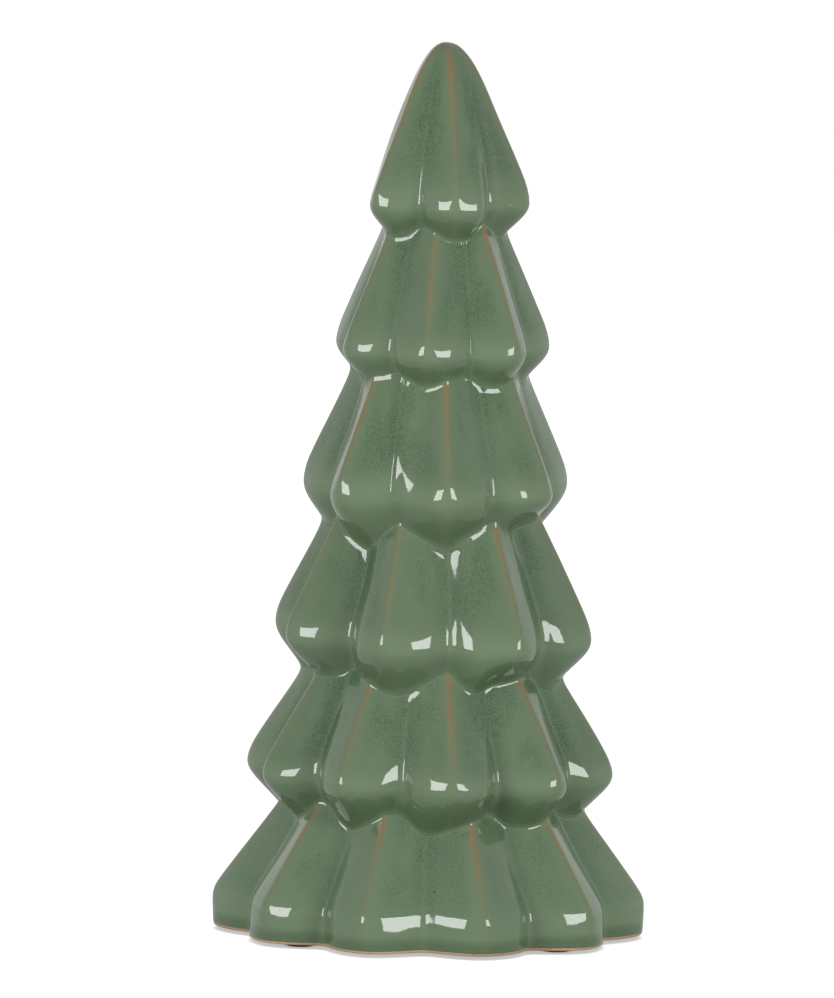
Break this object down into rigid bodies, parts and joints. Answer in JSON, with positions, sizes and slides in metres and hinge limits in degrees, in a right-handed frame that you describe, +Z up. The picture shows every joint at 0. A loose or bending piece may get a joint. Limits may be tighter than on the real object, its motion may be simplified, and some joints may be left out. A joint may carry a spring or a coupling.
{
  "type": "decorative christmas tree",
  "caption": "Free-standing glazed stoneware tree of stacked, fluted tiers with scalloped rims, hollow inside, on felt pads.",
  "frame": {"origin": "on the floor under the middle of the foot", "axes": "+Z up along the tree to its point, -Y towards the viewer of the picture, +X to the viewer's right"},
  "size_m": [0.1453, 0.1437, 0.3013],
  "materials": {
    "green_glaze": "glossy celadon-green glaze that breaks to caramel brown on the ridges",
    "bare_stoneware": "unglazed fired tan clay, matte",
    "felt": "dense dark felt"
  },
  "bodies": {
    "root": {"clay_body": "bare_stoneware", "glaze_coat": "green_glaze", "felt_pad_1": "felt", "felt_pad_2": "felt", "felt_pad_3": "felt", "felt_pad_4": "felt"}
  },
  "joints": []
}
